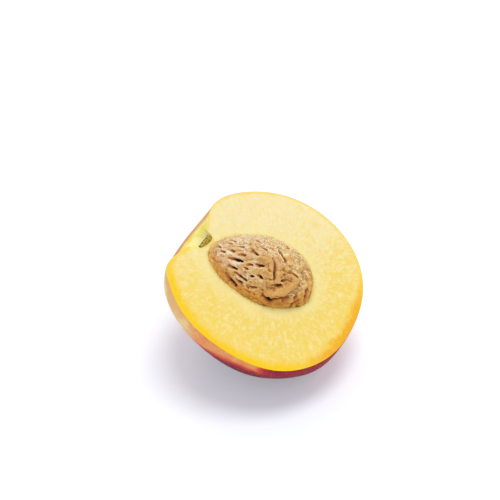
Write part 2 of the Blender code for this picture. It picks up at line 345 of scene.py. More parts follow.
def fruit_radius(direction):
    angle = np.arccos(np.clip(direction[..., 0], -1.0, 1.0))
    across = np.hypot(direction[..., 1], direction[..., 2])
    side = direction[..., 1] / np.maximum(across, 1e-9)
    radius = np.full(angle.shape, MEAN_RADIUS)
    for count, size in enumerate(EVEN_WAVES, 1):
        radius += size * np.cos(count * angle)
    for count, size in enumerate(ODD_WAVES, 1):
        radius += side * size * np.sin(count * angle)
    radius -= FUNNEL_DEPTH * np.exp(-(((math.pi - angle) / FUNNEL_WIDTH) ** 2))
    from_pit = angle_between(direction, PIT_DIRECTION)
    radius -= PIT_DEPTH * np.exp(-((from_pit / PIT_WIDTH) ** PIT_SQUARENESS))
    radius += CHEEK_RISE * (1.0 - side * side) * np.exp(-(((angle - CHEEK_ANGLE) / CHEEK_WIDTH) ** 2))
    for turn, dip, width, rise in SWELLINGS:
        from_middle = angle_between(direction, direction_of(math.radians(turn), math.radians(dip)))
        radius += rise * MM * np.exp(-((from_middle / math.radians(width)) ** 2))
    return radius


def fruit_point(turn, dip):
    direction = direction_of(*np.broadcast_arrays(turn, dip))
    point = direction * fruit_radius(direction)[..., None]
    point[..., 2] *= DOME_DEPTH
    return point


def cavity_wall(y, z):
    """The x of the stem cavity's skin, beside the stem axis."""
    x = np.full(np.shape(y), -MEAN_RADIUS)
    for _ in range(WALL_TRIES):
        aim = np.stack((x, y, z / DOME_DEPTH), axis=-1)
        x = x * fruit_radius(unit(aim)) / np.linalg.norm(aim, axis=-1)
    return x


def stone_point(turn, lift):
    """The stone's smooth form, in the stone's own frame: x along it, z out of the cut."""
    along, across = np.cos(turn), np.sin(turn)
    closeness = np.abs(along / STONE_HALF_LENGTH) ** STONE_ROUNDNESS
    closeness = closeness + np.abs(across / STONE_HALF_WIDTH) ** STONE_ROUNDNESS
    reach = closeness ** (-1.0 / STONE_ROUNDNESS)
    from_tip = (turn - STONE_TIP_TURN + math.pi) % (2.0 * math.pi) - math.pi
    reach = reach + STONE_TIP * np.exp(-((from_tip / STONE_TIP_WIDTH) ** 2))
    x = reach * along * np.cos(lift)
    y = reach * across * np.cos(lift)
    taper = STONE_TAPER * x / STONE_HALF_LENGTH
    z = STONE_HALF_THICKNESS * np.sin(lift)
    return np.stack((x, y * (1.0 + taper), z * (1.0 + 0.5 * taper)), axis=-1)


def stone_wave(smooth):
    return STONE_WAVE * (0.5 + 0.5 * noise_at(smooth, STONE_WAVE_LENGTH))


def socket_point(turn, lift, gap):
    """The wall of the socket, which follows the waves of the stone, in the frame of the cut."""
    turn, lift = np.broadcast_arrays(turn, lift)
    smooth = stone_point(turn, lift)
    form = smooth + unit(smooth) * (gap - stone_wave(smooth))[..., None]
    spin = np.array(Matrix.Rotation(STONE_TURN, 3, "Z"))
    return form @ spin.T + np.array(STONE_CENTRE)


# Meshes.


def mesh_object(name, points, faces, placement, materials, slots=None):
    """A piece from points in its own frame, which are also stored for its materials to read."""
    placed = points @ np.array(placement.to_3x3()).T + np.array(placement.translation)
    mesh = bpy.data.meshes.new(name)
    mesh.from_pydata(placed.tolist(), [], faces)
    for material in materials:
        mesh.materials.append(material)
    if slots is not None:
        mesh.polygons.foreach_set("material_index", slots)
    mesh.shade_smooth()
    mesh.update()
    places = mesh.attributes.new("place", "FLOAT_VECTOR", "POINT")
    places.data.foreach_set("vector", (points / MM).astype(np.float32).ravel())
    thing = bpy.data.objects.new(name, mesh)
    bpy.context.collection.objects.link(thing)
    return thing


def give(thing, name, values):
    """Store a number for each point of a piece, for its material to read."""
    attribute = thing.data.attributes.new(name, "FLOAT", "POINT")
    attribute.data.foreach_set("value", values.astype(np.float32))


def ring_faces(first, second, count):
    """The faces between two rings of points, given by the number of the first point of each."""
    faces = []
    for place in range(count):
        after = (place + 1) % count
        faces.append((first + place, first + after, second + after, second + place))
    return faces


def lying_turn():
    return (
        Matrix.Rotation(LEAN_TOWARDS, 3, "Z")
        @ Matrix.Rotation(LEAN, 3, "Y")
        @ Matrix.Rotation(AXIS_TURN, 3, "Z")
    )


def place_of_cut(dome):
    """Where the frame of the cut lies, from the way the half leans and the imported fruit's own box."""
    turn = np.array(lying_turn())
    turned = dome @ turn.T
    low, high = (np.array(corner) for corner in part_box("fruit_half"))
    shift = 0.5 * (low - turned.min(0) + high - turned.max(0))
    shift[2] = -(turned[:, 2].min() + FLAT_SPOT_CUT)
    return Matrix.Translation(shift) @ lying_turn().to_4x4()


def fruit_turns():
    even = np.arange(FRUIT_AROUND) * (2.0 * math.pi / FRUIT_AROUND)
    return even + CROWD_ROUND * np.sin(even)


def flesh_relief(points, from_skin, from_stone):
    """How far the cut face stands off its plane."""
    turn = np.arctan2(points[..., 1], points[..., 0])
    reach = np.hypot(points[..., 0], points[..., 1])
    way = (np.cos(turn) * FIBRE_FINENESS, np.sin(turn) * FIBRE_FINENESS)
    rays = np.stack((*way, reach / FIBRE_LENGTH), axis=-1)
    fade = smooth_step(0.0, RELIEF_FROM_EDGE, from_skin)
    relief = CUT_WAVE * noise_at(points, CUT_WAVE_LENGTH, 3.0) * fade
    relief += FIBRE_HEIGHT * noise_at(rays, 1.0, 5.0) * fade
    relief += WET_GRAIN * noise_at(points, WET_GRAIN_LENGTH, 7.0) * fade
    ragged = 0.5 + 0.7 * noise_at(points, RISE_LENGTH, 9.0)
    ragged += 0.5 * noise_at(points, RISE_FINE_LENGTH, 10.0)
    relief += RISE * ragged * np.exp(-((from_stone / RISE_WIDTH) ** 2))
    return relief


def skin_rings(turns):
    """Rings of the skin up to the rounded edge of the cut, with how far each is from skin and stone."""
    outline = fruit_point(turns, 0.0)
    reach = np.linalg.norm(outline, axis=1, keepdims=True)
    first_dip = EDGE_ROUND / MEAN_RADIUS
    for ring in range(DOME_RINGS - 1, 0, -1):
        dip = first_dip + (0.5 * math.pi - first_dip) * (ring / DOME_RINGS) ** CROWD_DOWN
        yield fruit_point(turns, dip), 0.0, FAR
    for ring in range(EDGE_RINGS + 1):
        bend = 0.5 * math.pi * ring / EDGE_RINGS
        inset = EDGE_ROUND * (1.0 - math.cos(bend))
        points = outline * (1.0 - inset / reach)
        points[:, 2] = -EDGE_ROUND * (1.0 - math.sin(bend))
        yield points, inset, FAR


def flesh_rings(turns, edge):
    """Rings of the cut face from its edge to the stone, and then down the wall of the socket."""
    rim = socket_point(turns - STONE_TURN, 0.0, SOCKET_GAP)
    width = np.linalg.norm(edge - rim, axis=1)
    for ring in range(1, FACE_RINGS + 1):
        share = ring / FACE_RINGS
        share = share + CROWD_FACE * math.sin(2.0 * math.pi * share) / math.pi
        points = edge + (rim - edge) * share
        to_skin = width * share
        to_stone = width * (1.0 - share)
        points[:, 2] = flesh_relief(points, to_skin, to_stone)
        yield points, to_skin, to_stone
    top = points[:, 2]
    for ring in range(1, SOCKET_RINGS):
        lift = -0.5 * math.pi * (ring / SOCKET_RINGS)
        points = socket_point(turns - STONE_TURN, lift, SOCKET_GAP)
        points[:, 2] = np.minimum(points[:, 2], top - SOCKET_STEP * ring)
        yield points, width, 0.0


def at_points(ring_values, pole_values):
    """A number for each point of the fruit, from those of its rings and of its two poles."""
    spread = [np.broadcast_to(value, FRUIT_AROUND) for value in ring_values]
    return np.append(np.concatenate(spread), pole_values)


def make_peach_half(materials):
    turns = fruit_turns()
    rows = list(skin_rings(turns))
    skin_bands = len(rows) - 2
    rows += flesh_rings(turns, rows[-1][0])
    rings, from_skin, from_stone = zip(*rows)
    poles = (fruit_point(0.0, 0.5 * math.pi), socket_point(0.0, -0.5 * math.pi, SOCKET_GAP))
    points = np.concatenate((*rings, np.array(poles)))

    bottom, top = len(points) - 2, len(points) - 1
    faces, slots = [], []
    for band in range(len(rings) - 1):
        faces += ring_faces(band * FRUIT_AROUND, (band + 1) * FRUIT_AROUND, FRUIT_AROUND)
        slots += [SKIN if band < skin_bands else FLESH] * FRUIT_AROUND
    last = (len(rings) - 1) * FRUIT_AROUND
    for place in range(FRUIT_AROUND):
        after = (place + 1) % FRUIT_AROUND
        faces.append((after, place, bottom))
        faces.append((last + place, last + after, top))
    slots += [SKIN, FLESH] * FRUIT_AROUND

    placement = place_of_cut(points[: skin_bands * FRUIT_AROUND])
    up = np.array(placement.to_3x3())[2]
    height = points @ up + placement.translation.z
    points = points + np.outer(np.maximum(-height, 0.0), up)
    half = mesh_object("peach_half", points, faces, placement, materials, slots)
    give(half, "from_skin", at_points(from_skin, (0.0, SOCKET_BELOW_SKIN)) / MM)
    give(half, "from_stone", at_points(from_stone, (FAR, 0.0)) / MM)
    give(half, "blush", blush(points))
    give(half, "cavity", near_cavity(points))
    return half, placement


def blush(points):
    """How red the skin is: flushes round their middles, broken up by the fruit's own mottling."""
    direction = unit(points * np.array((1.0, 1.0, 1.0 / DOME_DEPTH)))
    mottle = np.zeros(len(points))
    for size, length, shift in MOTTLES:
        mottle += math.radians(size) * noise_at(points, length * MM, shift)
    red = np.zeros(len(points))
    for turn, dip, width, share, ragged in FLUSHES:
        middle = direction_of(math.radians(turn), math.radians(dip))
        apart = angle_between(direction, middle) + ragged * mottle
        reach = math.radians(width)
        full = (FLUSH_INSIDE - FLUSH_DRAWN_IN * ragged) * reach
        red = np.maximum(red, share * smooth_step(FLUSH_OUTSIDE * reach, full, apart))
    return red


def near_cavity(points):
    """How far into the stem cavity a point of the skin is, from 0 outside to 1 at the bottom."""
    from_stem = angle_between(unit(points), np.array((-1.0, 0.0, 0.0)))
    return smooth_step(CAVITY_OUTSIDE, CAVITY_INSIDE, from_stem)


def make_down(half, material):
    """Short hairs on the skin, each a closed needle with three sides."""
    mesh = half.data
    skin = np.array([face.material_index == SKIN for face in mesh.polygons])
    starts = np.array([face.vertices[:3] for face in mesh.polygons])[skin]
    ends = np.array([face.vertices[-1] for face in mesh.polygons])[skin]
    places = np.empty(3 * len(mesh.vertices), dtype=np.float32)
    mesh.vertices.foreach_get("co", places)
    places = places.reshape(-1, 3).astype(float)
    first, second, third, last = (places[column] for column in (*starts.T, ends))
    upright = np.cross(third - first, last - second)
    areas = np.linalg.norm(upright, axis=1)
    normals = unit(upright + 1e-12)

    draw = np.random.default_rng(DOWN_SEED)
    chosen = draw.choice(len(areas), DOWN_COUNT, p=areas / areas.sum())
    across, along = draw.random((2, DOWN_COUNT, 1))
    near_side = first[chosen] * (1.0 - across) + second[chosen] * across
    far_side = last[chosen] * (1.0 - across) + third[chosen] * across
    roots = near_side * (1.0 - along) + far_side * along
    outward = normals[chosen]
    way = unit(outward + DOWN_TILT * draw.normal(0.0, 0.5, (DOWN_COUNT, 3)))
    lengths = draw.uniform(*DOWN_LENGTHS, (DOWN_COUNT, 1))
    above = roots[:, 2] > DOWN_CLEARANCE
    roots, way, lengths, outward = roots[above], way[above], lengths[above], outward[above]

    side = unit(np.cross(way, DOWN_FACING))
    other = np.cross(way, side)
    base = roots - outward * DOWN_ROOT
    rim = []
    for corner in range(DOWN_SIDES):
        turn = 2.0 * math.pi * corner / DOWN_SIDES
        rim.append(base + DOWN_HALF_WIDTH * (side * math.cos(turn) + other * math.sin(turn)))
    points = np.stack((*rim, base + way * (lengths + DOWN_ROOT)), axis=1).reshape(-1, 3)
    needle = np.array(((0, 2, 1), (0, 1, 3), (1, 2, 3), (2, 0, 3)))
    numbers = np.arange(len(base))[:, None, None] * (DOWN_SIDES + 1)
    faces = (numbers + needle).reshape(-1, 3).tolist()
    return mesh_object("skin_down", points, faces, Matrix.Identity(4), [material])


def line_apart(points, start, end):
    """How far points are from a line, and their share along it."""
    line = end - start
    share = np.clip(((points - start) @ line) / (line @ line), 0.0, 1.0)
    apart = np.linalg.norm(points - start - share[:, None] * line, axis=1)
    return apart, share


def route_apart(points, route):
    """How far points are from a bent line, and their share along it."""
    nearest = np.full(len(points), np.inf)
    place = np.zeros(len(points))
    for number, (start, end) in enumerate(zip(route, route[1:])):
        apart, share = line_apart(points, start, end)
        closer = apart < nearest
        nearest[closer] = apart[closer]
        place[closer] = (number + share[closer]) / (len(route) - 1)
    return nearest, place


def onto_stone(point):
    """The point of the smooth stone straight out from a point inside it."""
    x, y, z = point
    turn = math.atan2(y / (1.0 + STONE_TAPER * x / STONE_HALF_LENGTH), x)
    rim = stone_point(turn, 0.0)
    height = STONE_HALF_THICKNESS * (1.0 + 0.5 * STONE_TAPER * x / STONE_HALF_LENGTH)
    lift = math.atan2(z / height, math.hypot(x, y) / math.hypot(rim[0], rim[1]))
    return stone_point(turn, lift)


def shown_furrows():
    """The furrows that show, each bent to follow the stone."""
    for turn_a, lift_a, turn_b, lift_b, half_width, depth in FURROWS:
        start = stone_point(math.radians(turn_a), math.radians(lift_a))
        end = stone_point(math.radians(turn_b), math.radians(lift_b))
        shares = [step / FURROW_STEPS for step in range(FURROW_STEPS + 1)]
        route = [onto_stone(start + (end - start) * share) for share in shares]
        yield route, half_width * MM * FURROW_NARROWING, depth * MM


def spread_furrows():
    """Furrows in no special place, on the underside and the far side of the stone."""
    draw = random.Random(SPREAD_SEED)
    for _ in range(SPREAD_FURROWS):
        turn = draw.uniform(0.0, 2.0 * math.pi)
        height = draw.uniform(*SPREAD_HEIGHTS)
        start = stone_point(turn, math.asin(height))
        end = start + np.array((draw.uniform(*SPREAD_RUNS), draw.uniform(*SPREAD_SLANTS), 0.0)) * MM
        depth = draw.uniform(*SPREAD_DEPTHS) * MM
        if height < 0.0 or math.sin(turn) > LISTED_SIDE:
            yield (start, end), SPREAD_HALF_WIDTH * FURROW_NARROWING, depth


def scratches():
    """Short fine furrows all over the stone, between the large ones."""
    draw = random.Random(SCRATCH_SEED)
    for _ in range(SCRATCHES):
        turn = draw.uniform(0.0, 2.0 * math.pi)
        height = draw.uniform(*SCRATCH_HEIGHTS)
        start = stone_point(turn, math.asin(height))
        way = np.array((1.0, draw.uniform(*SCRATCH_SLANTS), draw.uniform(*SCRATCH_TILTS)))
        end = start + way * draw.uniform(*SCRATCH_LENGTHS) * MM
        yield (start, end), draw.uniform(*SCRATCH_HALF_WIDTHS) * MM, draw.uniform(*SCRATCH_DEPTHS) * MM


def carve(points, furrows):
    """The depth that furrows add at each point, and that of the wide valleys which they lie in.

    Each furrow shelves down from a shallow end to its far end, and narrows at both.
    """
    depth = np.zeros(len(points))
    valley = np.zeros(len(points))
    for route, half_width, full_depth in furrows:
        length = np.linalg.norm(route[-1] - route[0])
        reach = 0.6 * length + VALLEY_REACH * half_width
        near = np.linalg.norm(points - 0.5 * (route[0] + route[-1]), axis=1) < reach
        apart, share = route_apart(points[near], route)
        shallow = np.clip(1.0 - length / SHELVING_LENGTH, *SHALLOW_END)
        shelve = shallow + (1.0 - shallow) * smooth_step(0.05, 0.7, share)
        spindle = half_width * (0.55 + 0.45 * np.sin(math.pi * (0.1 + 0.8 * share)))
        profile = 1.0 - smooth_step(0.15, 1.15, apart / spindle)
        depth[near] = np.maximum(depth[near], full_depth * shelve * profile)
        hollow = 1.0 - smooth_step(0.3, VALLEY_REACH, apart / half_width)
        valley[near] = np.maximum(valley[near], hollow * full_depth / DEEP_FURROW)
    return depth, valley


def evened(values, quads, rounds):
    """Values at a mesh's points, each averaged with its neighbours a number of times."""
    shared = np.zeros(len(values))
    np.add.at(shared, quads, 1.0)
    for _ in range(rounds):
        total = np.zeros(len(values))
        np.add.at(total, quads, values[quads].mean(1, keepdims=True))
        values = total / shared
    return values


def ridge_lift(points):
    """How far the smooth ridges stand up at each point."""
    lift = np.zeros(len(points))
    for route, half_width, height in RIDGES:
        places = [stone_point(math.radians(turn), math.radians(rise)) for turn, rise in route]
        apart = route_apart(points, places)[0]
        lift = np.maximum(lift, height * MM * np.exp(-((apart / (half_width * MM)) ** 2)))
    return lift


def crumbs_at(points):
    """Rounded grains, from 0 between them to 1 at the middle of each."""
    middles = np.empty(len(points))
    for number, place in enumerate((points / CRUMB_SIZE).tolist()):
        middles[number] = voronoi(place)[0][0]
    return 1.0 - smooth_step(0.1, 0.75, middles)


def stone_grid():
    """Points all over the smooth stone, closer together on top, and the faces between them."""
    ball = bmesh.new()
    bmesh.ops.create_cube(ball, size=2.0)
    bmesh.ops.subdivide_edges(ball, edges=ball.edges[:], cuts=STONE_GRID, use_grid_fill=True)
    cube = np.array([vert.co[:] for vert in ball.verts])
    faces = [[vert.index for vert in face.verts] for face in ball.faces]
    ball.free()
    even = np.tan(cube * math.pi / 4.0)
    direction = unit(unit(even) + np.array((0.0, 0.0, STONE_CROWDING)))
    smooth = stone_point(np.arctan2(direction[:, 1], direction[:, 0]), np.arcsin(direction[:, 2]))
    return smooth, faces


def noise_way(points, length, shifts):
    return np.stack([noise_at(points, length, shift) for shift in shifts], axis=1)


def make_stone(placement, material):
    smooth, faces = stone_grid()
    above = smooth[:, 2] / STONE_HALF_THICKNESS
    shift = noise_way(smooth, RAGGED_LENGTH, (1.0, 2.0, 3.0))
    swirl = noise_way(smooth, SWIRL_LENGTH, (31.0, 32.0, 33.0))

    ragged = smooth + shift * FURROW_RAGGED
    pits, valleys = carve(ragged, [*shown_furrows(), *spread_furrows()])
    fine = carve(ragged, scratches())[0]
    ridges = ridge_lift(ragged)
    lumps = LUMP_HEIGHT * noise_at((smooth + swirl * SWIRL) / LUMP_SIZE, 1.0, 17.0)

    # The far side and both ends are the driest, and crumble most.
    patches = noise_at(smooth, PATCH_LENGTH, 37.0)
    dry = smooth_step(-0.5, 0.7, smooth[:, 1] / STONE_HALF_WIDTH + 0.6 * patches)
    from_middle = np.abs(smooth[:, 0] + 2.0 * MM) / STONE_HALF_LENGTH
    ends = smooth_step(0.4, 1.0, from_middle + 0.2 * patches)
    crumbly = 0.35 + 0.65 * np.maximum(dry, ends) + 0.35 * patches - ridges / (3.0 * MM)
    crumbly = np.clip(crumbly, 0.3, 1.0)
    crumbs = crumbs_at(smooth + shift * CRUMB_SHIFT)
    grain = noise_at(smooth, GRAIN_LENGTH, 19.0) + 0.6 * noise_at(smooth, 0.5 * GRAIN_LENGTH, 23.0)
    grit = np.maximum(noise_at(smooth, GRIT_LENGTH, 41.0), -0.2)

    # All of it as a depth below the smooth stone. Nothing stands proud where the flesh meets it.
    proud = smooth_step(0.0, PROUD_FROM, above)
    depth = stone_wave(smooth) + proud * (RIDGE_SINK + VALLEY_DEPTH * valleys - ridges - lumps)
    depth += CRUMB_HEIGHT * crumbly * (0.4 - crumbs) + GRAIN_DEPTH * grain
    depth += GRIT_DEPTH * (0.6 + 0.6 * crumbly) * grit
    sheltered = smooth_step(0.0, 0.5 * MM, pits)
    depth = np.maximum(depth + fine * (1.0 - sheltered), -PROUDEST * proud) + pits
    points = smooth - unit(smooth) * depth[:, None]
    # How far each point lies below the stone round it: the painted shade in the hollows and the painted
    # highlight on the raised parts follow it.
    hollows = depth - evened(depth, np.array(faces), EVENING_ROUNDS)

    own_place = placement @ Matrix.Translation(STONE_CENTRE) @ Matrix.Rotation(STONE_TURN, 4, "Z")
    stone = mesh_object("peach_stone", points, faces, own_place, [material])
    give(stone, "pit", np.clip(pits / FULL_PIT, 0.0, 1.0))
    # The depth of the scratches and valleys, which the painted shade in the scratches follows.
    give(stone, "fine", np.clip(np.maximum(fine / FULL_SCRATCH, valleys - 0.4), 0.0, 1.0))
    give(stone, "crumbly", crumbly)
    give(stone, "crumb", crumbs)
    give(stone, "ridge", np.clip(ridges / FULL_RIDGE, 0.0, 1.0))
    give(stone, "lift", above)
    give(stone, "hollow", np.clip(hollows / FULL_HOLLOW, -1.0, 1.0))
    return stone


def make_scar(placement, materials):
    """Half a disc of dry bark with a raised, crumbling rim, cut through where it meets the cut face."""
    radii = SCAR_RADIUS * np.arange(1, SCAR_RINGS + 1) / SCAR_RINGS
    turns = math.pi * np.arange(SCAR_AROUND + 1) / SCAR_AROUND
    radius, turn = np.meshgrid(radii, turns, indexing="ij")
    y = SCAR_OFFSET + radius * np.cos(turn)
    z = -radius * np.sin(turn)
    y, z = np.append(y.ravel(), SCAR_OFFSET), np.append(z.ravel(), 0.0)
    share = np.append(radius.ravel(), 0.0) / SCAR_RADIUS
    back = cavity_wall(y, z) - SCAR_GAP
    middle = cavity_wall(np.array(SCAR_OFFSET), np.array(0.0)) - SOLID_SCAR_GAP - SCAR_THICKNESS
    front = middle + SCAR_LEAN * (y - SCAR_OFFSET) - SCAR_RIM * share**3
    crumble = noise_at(np.stack((front, y, z), axis=1), SCAR_CRUMBLE_LENGTH, 29.0)
    front = np.minimum(front + SCAR_CRUMBLE * crumble, back - SCAR_THINNEST)
    points = np.concatenate((np.stack((back, y, z), axis=1), np.stack((front, y, z), axis=1)))

    half, centre, row = len(y), len(y) - 1, SCAR_AROUND + 1
    faces, slots = [], []

    def add(face, slot):
        faces.append(face)
        slots.append(slot)

    for place in range(SCAR_AROUND):
        add((centre, place + 1, place), 0)
        add((half + centre, half + place, half + place + 1), 0)
        for ring in range(SCAR_RINGS - 1):
            inner, outer = ring * row + place, (ring + 1) * row + place
            add((inner, inner + 1, outer + 1, outer), 0)
            add((half + inner, half + outer, half + outer + 1, half + inner + 1), 0)
        edge = (SCAR_RINGS - 1) * row + place
        add((edge, edge + 1, half + edge + 1, half + edge), 0)
    for end, flip in ((0, False), (SCAR_AROUND, True)):
        spoke = [centre] + [ring * row + end for ring in range(SCAR_RINGS)]
        for inner, outer in zip(spoke, spoke[1:]):
            face = (inner, outer, half + outer, half + inner)
            add(face[::-1] if flip else face, 1)
    return mesh_object("stalk_end", points, faces, placement, materials, slots)


# Materials.


class Finish:
    """A material under construction, with short names for the nodes that it uses."""

    def __init__(self, name):
        self.material = bpy.data.materials.new(name)
        self.material.use_nodes = True
        self.tree = self.material.node_tree
        self.shader = self.tree.nodes["Principled BSDF"]

    def put(self, socket, value):
        if isinstance(value, bpy.types.NodeSocket):
            self.tree.links.new(value, socket)
        else:
            socket.default_value = value

    def node(self, kind, inputs, **settings):
        made = self.tree.nodes.new(kind)
        for name, value in settings.items():
            setattr(made, name, value)
        for name, value in inputs.items():
            self.put(made.inputs[name], value)
        return made

    def place(self):
        """The point being shaded, in the piece's own frame, in millimetres."""
        return self.node("ShaderNodeAttribute", {}, attribute_name="place").outputs["Vector"]

    def value_of(self, name):
        return self.node("ShaderNodeAttribute", {}, attribute_name=name).outputs["Fac"]

    def math(self, operation, first, second=0.0):
        return self.node("ShaderNodeMath", {0: first, 1: second}, operation=operation).outputs[0]

    def times(self, first, second):
        return self.math("MULTIPLY", first, second)

    def plus(self, first, second):
        return self.math("ADD", first, second)

    def noise(self, place, scale, detail=3.0, roughness=0.5, distortion=0.0):
        inputs = {"Vector": place, "Scale": scale, "Detail": detail, "Roughness": roughness}
        inputs["Distortion"] = distortion
        return self.node("ShaderNodeTexNoise", inputs).outputs["Fac"]

    def along(self, place, turn):
        """How far a point lies out towards a turn across the cut, in degrees."""
        way = (math.cos(math.radians(turn)), math.sin(math.radians(turn)), 0.0)
        product = self.node("ShaderNodeVectorMath", {0: place, 1: way}, operation="DOT_PRODUCT")
        return product.outputs["Value"]

    def towards(self, place, turn):
        """How nearly a point lies towards a turn across the cut: 1 right along it, 0 beside it."""
        straight = self.node("ShaderNodeVectorMath", {0: place}, operation="NORMALIZE").outputs[0]
        return self.along(straight, turn)

    def cells(self, place, scale):
        return self.node("ShaderNodeTexVoronoi", {"Vector": place, "Scale": scale}).outputs["Distance"]

    def between(self, value, low, high, to_low=0.0, to_high=1.0):
        inputs = {"Value": value, "From Min": low, "From Max": high, "To Min": to_low, "To Max": to_high}
        return self.node("ShaderNodeMapRange", inputs, interpolation_type="SMOOTHSTEP").outputs[0]

    def mix(self, share, first, second, blend="MIX"):
        made = self.tree.nodes.new("ShaderNodeMix")
        made.data_type = "RGBA"
        made.blend_type = blend
        self.put(made.inputs[0], share)
        self.put(made.inputs[6], first)
        self.put(made.inputs[7], second)
        return made.outputs[2]

    def bump(self, height, distance, strength):
        inputs = {"Height": height, "Distance": distance, "Strength": strength}
        return self.node("ShaderNodeBump", inputs).outputs[0]

    def shade(self, **inputs):
        for name, value in inputs.items():
            self.put(self.shader.inputs[name.replace("_", " ")], value)
        return self.material


def skin_finish():
    finish = Finish("downy_skin")
    place = finish.place()
    blotch = finish.between(finish.noise(place, 0.35, 5.0, 0.6), 0.3, 0.7, -0.06, 0.06)
    red = finish.plus(finish.value_of("blush"), blotch)
    tone = finish.between(finish.noise(place, 0.1), 0.4, 0.6)
    skin = finish.mix(tone, colour(250, 218, 150), colour(244, 190, 118))
    for start, full, shade in REDS:
        skin = finish.mix(finish.between(red, start, full), skin, colour(*shade))
    specks = finish.between(finish.cells(place, 1.05), 0.05, 0.3, 1.0, 0.0)
    patchy = finish.between(finish.noise(place, 0.6, 2.0), 0.38, 0.62, 0.1, 0.8)
    fewer = finish.between(red, 1.15, 0.75, 0.35, 1.0)
    shown = finish.times(specks, finish.times(patchy, fewer))
    speckled = finish.mix(shown, skin, colour(240, 180, 116))
    green = finish.between(finish.noise(place, 0.35, 2.0, 0.5), 0.35, 0.65)
    pale = finish.mix(green, colour(255, 242, 168), colour(246, 228, 92))
    cavity = finish.value_of("cavity")
    rimmed = finish.mix(finish.between(cavity, 0.12, 0.5, 0.0, 0.6), speckled, colour(222, 150, 50))
    inner = finish.mix(finish.between(cavity, 0.64, 0.9), rimmed, pale)
    down = finish.noise(place, 6.0, 2.0, 0.7)
    return finish.shade(
        Base_Color=inner,
        Roughness=0.6,
        Subsurface_Weight=0.1,
        Subsurface_Radius=(0.004, 0.0015, 0.0006),
        Subsurface_Scale=1.0,
        Specular_IOR_Level=0.08,
        Sheen_Weight=0.05,
        Sheen_Roughness=0.4,
        Sheen_Tint=(1.0, 0.9, 0.84, 1.0),
        Normal=finish.bump(down, 0.0001, 0.4),
    )


def down_finish():
    finish = Finish("down")
    return finish.shade(
        Base_Color=(0.9, 0.7, 0.55, 1.0),
        Roughness=0.6,
        Alpha=0.1,
    )


def ray_fibres(finish, place):
    """Streaks that run out from the middle of the fruit."""
    split = finish.node("ShaderNodeSeparateXYZ", {0: place})
    turn = finish.math("ARCTAN2", split.outputs[1], split.outputs[0])
    reach = finish.node("ShaderNodeVectorMath", {0: place}, operation="LENGTH").outputs["Value"]
    rays = finish.node("ShaderNodeCombineXYZ", {0: finish.times(turn, 26.0), 1: finish.times(reach, 0.25)})
    return finish.noise(rays.outputs[0], 1.0, 4.0, 0.6, 0.7)


def flesh_finish():
    finish = Finish("yellow_flesh")
    place = finish.place()
    from_skin = finish.value_of("from_skin")
    from_stone = finish.value_of("from_stone")
    cloud = finish.noise(place, 0.13, 4.0, 0.6)
    curls = finish.noise(place, 0.6, 5.0, 0.6, 0.6)
    fibres = ray_fibres(finish, place)

    # The flesh is cream towards one side of the cut and yellower towards the other. Paler and deeper strands
    # run through it.
    spread = finish.between(cloud, 0.25, 0.75, -8.0, 8.0)
    yellow_side = finish.between(finish.plus(finish.along(place, PALEST), spread), 30.0, -14.0)
    body = finish.mix(yellow_side, colour(250, 232, 178), colour(248, 217, 118))
    light = finish.plus(finish.times(curls, 0.58), finish.times(fibres, 0.42))
    streaked = finish.mix(finish.between(light, 0.46, 0.66, 0.0, 0.58), body, colour(254, 240, 184))
    yellow_side_share = finish.between(yellow_side, 0.0, 0.8, 0.4, 1.0)
    yellow = finish.times(finish.between(light, 0.53, 0.36, 0.0, 0.8), yellow_side_share)
    strands = finish.mix(yellow, streaked, colour(247, 217, 74))

    # Yellow blots near the skin.
    blots = finish.between(finish.noise(place, 0.3, 5.0, 0.7), 0.5, 0.62)
    outer = finish.times(finish.between(from_skin, 13.0, 2.0), finish.between(yellow_side, 0.0, 0.5, 0.2, 1.0))
    blotted = finish.times(finish.times(blots, outer), 0.7)
    dappled = finish.mix(blotted, strands, colour(250, 212, 66))

    # A pale halo and a faint brown stain round the stone.
    wavy = finish.plus(from_stone, finish.between(cloud, 0.3, 0.7, -2.0, 2.0))
    pale = finish.mix(finish.between(wavy, 8.0, 0.5, 0.0, 0.55), dappled, colour(253, 238, 172))
    near = finish.plus(from_stone, finish.between(cloud, 0.3, 0.7, -0.5, 0.7))
    stained = finish.mix(finish.between(near, 1.6, 0.0, 0.0, 0.4), pale, colour(240, 204, 96))
    fringe = finish.between(finish.noise(place, 0.9, 4.0, 0.7, 0.5), 0.35, 0.65, 0.9, -0.9)
    ragged = finish.plus(from_stone, fringe)
    browned = finish.mix(finish.between(ragged, 0.5, -0.3, 0.0, 0.6), stained, colour(228, 180, 92))

    # The gold ring under the skin, widest on the low side and orange at the blossom end.
    low_side = finish.between(finish.towards(place, GOLDEN), 0.35, 0.8)
    blossom = finish.between(finish.towards(place, ORANGE), 0.72, 0.98)
    widened = finish.plus(finish.times(low_side, 1.5), finish.times(blossom, 1.6))
    width = finish.plus(widened, finish.between(cloud, 0.3, 0.7, 0.3, 1.3))
    depth = finish.math("DIVIDE", from_skin, width)
    frayed = finish.plus(depth, finish.between(curls, 0.35, 0.65, 0.35, -0.35))
    ring = finish.between(frayed, 1.9, 0.3)
    gold = finish.times(ring, finish.between(low_side, 0.0, 1.0, 0.55, 1.0))
    ringed = finish.mix(gold, browned, colour(253, 208, 6))
    deepest = finish.times(finish.times(ring, blossom), 0.9)
    orange = finish.mix(deepest, ringed, colour(244, 176, 12))

    grain = finish.noise(place, 3.2, 3.0, 0.7)
    relief = finish.plus(grain, finish.times(fibres, 0.8))
    return finish.shade(
        Base_Color=orange,
        Roughness=finish.between(grain, 0.3, 0.7, 0.36, 0.58),
        Subsurface_Weight=0.3,
        Subsurface_Radius=(0.004, 0.0026, 0.001),
        Subsurface_Scale=1.0,
        Specular_IOR_Level=0.22,
        Normal=finish.bump(relief, 0.00012, 0.35),
    )


